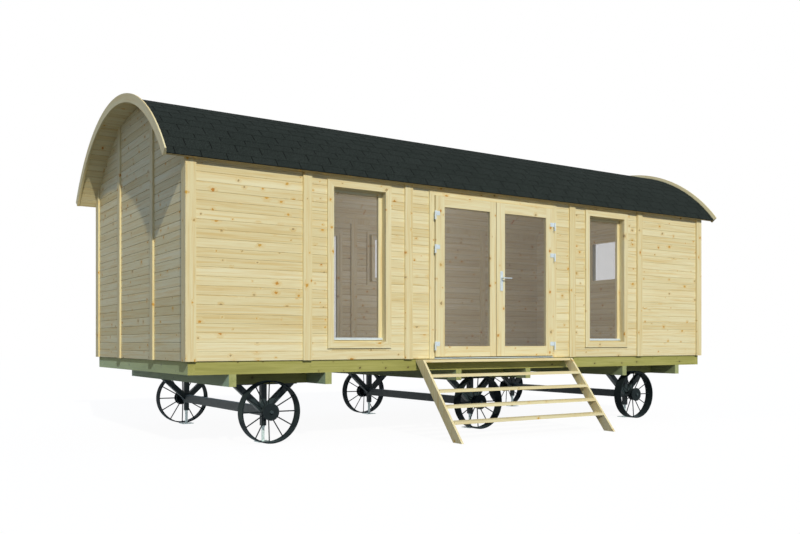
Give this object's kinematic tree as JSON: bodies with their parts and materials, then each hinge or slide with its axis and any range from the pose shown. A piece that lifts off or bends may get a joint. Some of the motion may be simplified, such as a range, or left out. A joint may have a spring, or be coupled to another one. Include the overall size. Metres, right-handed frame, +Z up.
{
  "type": "shepherds hut",
  "caption": "Timber shepherds hut with an arched shingle roof, glazed double doors, open steps and spoked steel wheels under a treated base frame.",
  "frame": {"origin": "on the ground under the middle of the footprint, steps included", "axes": "+X along the hut to the right as one faces the doors, -Y out of the doors, +Z up"},
  "size_m": [8.158, 4.4278, 3.7888],
  "materials": {
    "spruce": "planed, untreated",
    "treated_timber": "green pressure treated",
    "black_steel": "black paint, satin",
    "galvanised_steel": "galvanised",
    "plated_steel": "zinc plated",
    "shingles": "mineral felt",
    "glass": "clear"
  },
  "bodies": {
    "hut": {"axle_frame_left": "black_steel", "axle_frame_middle": "black_steel", "axle_frame_right": "black_steel", "back_battens": "spruce", "back_wall": "spruce", "base_beam_back": "treated_timber", "base_beam_front": "treated_timber", "base_beam_left": "treated_timber", "base_beam_right": "treated_timber", "cross_bearers": "treated_timber", "door_frame": "spruce", "door_hinge_pins": "plated_steel", "door_threshold": "plated_steel", "floor_deck": "spruce", "floor_joists": "treated_timber", "front_battens": "spruce", "front_wall_left": "spruce", "front_wall_over_door": "spruce", "front_wall_right": "spruce", "inner_battens": "spruce", "jack_legs": "galvanised_steel", "left_gable_battens": "spruce", "left_gable_wall": "spruce", "right_gable_battens": "spruce", "right_gable_wall": "spruce", "roof_boards": "spruce", "roof_shingles": "shingles", "step_stringers": "spruce", "step_treads": "spruce", "verge_board_left": "spruce", "verge_board_right": "spruce", "wheel_beams": "treated_timber", "window_back_small": "spruce", "window_back_tall": "spruce", "window_front_left": "spruce", "window_front_right": "spruce", "window_glass": "glass", "window_right_gable": "spruce", "window_weather_bars": "plated_steel"},
    "left_leaf": {"door_leaf_left": "spruce", "door_glass_left": "glass", "door_hinges_left": "plated_steel"},
    "right_leaf": {"door_leaf_right": "spruce", "door_glass_right": "glass", "door_hinges_right": "plated_steel", "handle_plates": "plated_steel"},
    "lever": {"lever_handle": "plated_steel"},
    "wheel_back_left": {"wheel_back_left": "black_steel"},
    "wheel_back_middle": {"wheel_back_middle": "black_steel"},
    "wheel_back_right": {"wheel_back_right": "black_steel"},
    "wheel_front_left": {"wheel_front_left": "black_steel"},
    "wheel_front_middle": {"wheel_front_middle": "black_steel"},
    "wheel_front_right": {"wheel_front_right": "black_steel"}
  },
  "joints": [
    {"name": "left_leaf_hinge", "type": "hinge", "parent": "hut", "child": "left_leaf", "pos_m": [-0.927, -1.41988, 1.8], "axis": [0, 0, -1], "range_deg": [0, 110]},
    {"name": "right_leaf_hinge", "type": "hinge", "parent": "hut", "child": "right_leaf", "pos_m": [0.927, -1.41988, 1.8], "axis": [0, 0, 1], "range_deg": [0, 110]},
    {"name": "lever_turn", "type": "hinge", "parent": "right_leaf", "child": "lever", "pos_m": [0.06, -1.38688, 1.848], "axis": [0, 1, 0], "range_deg": [0, 40], "stiffness_Nm_per_rad": 1.5, "springref_deg": -34.38},
    {"name": "wheel_back_left_spin", "type": "hinge", "parent": "hut", "child": "wheel_back_left", "pos_m": [-2.815, 1.75912, 0.333], "axis": [0, 1, 0], "continuous": true},
    {"name": "wheel_back_middle_spin", "type": "hinge", "parent": "hut", "child": "wheel_back_middle", "pos_m": [0, 1.75912, 0.333], "axis": [0, 1, 0], "continuous": true},
    {"name": "wheel_back_right_spin", "type": "hinge", "parent": "hut", "child": "wheel_back_right", "pos_m": [2.815, 1.75912, 0.333], "axis": [0, 1, 0], "continuous": true},
    {"name": "wheel_front_left_spin", "type": "hinge", "parent": "hut", "child": "wheel_front_left", "pos_m": [-2.815, -1.02288, 0.333], "axis": [0, 1, 0], "continuous": true},
    {"name": "wheel_front_middle_spin", "type": "hinge", "parent": "hut", "child": "wheel_front_middle", "pos_m": [0, -1.02288, 0.333], "axis": [0, 1, 0], "continuous": true},
    {"name": "wheel_front_right_spin", "type": "hinge", "parent": "hut", "child": "wheel_front_right", "pos_m": [2.815, -1.02288, 0.333], "axis": [0, 1, 0], "continuous": true}
  ]
}
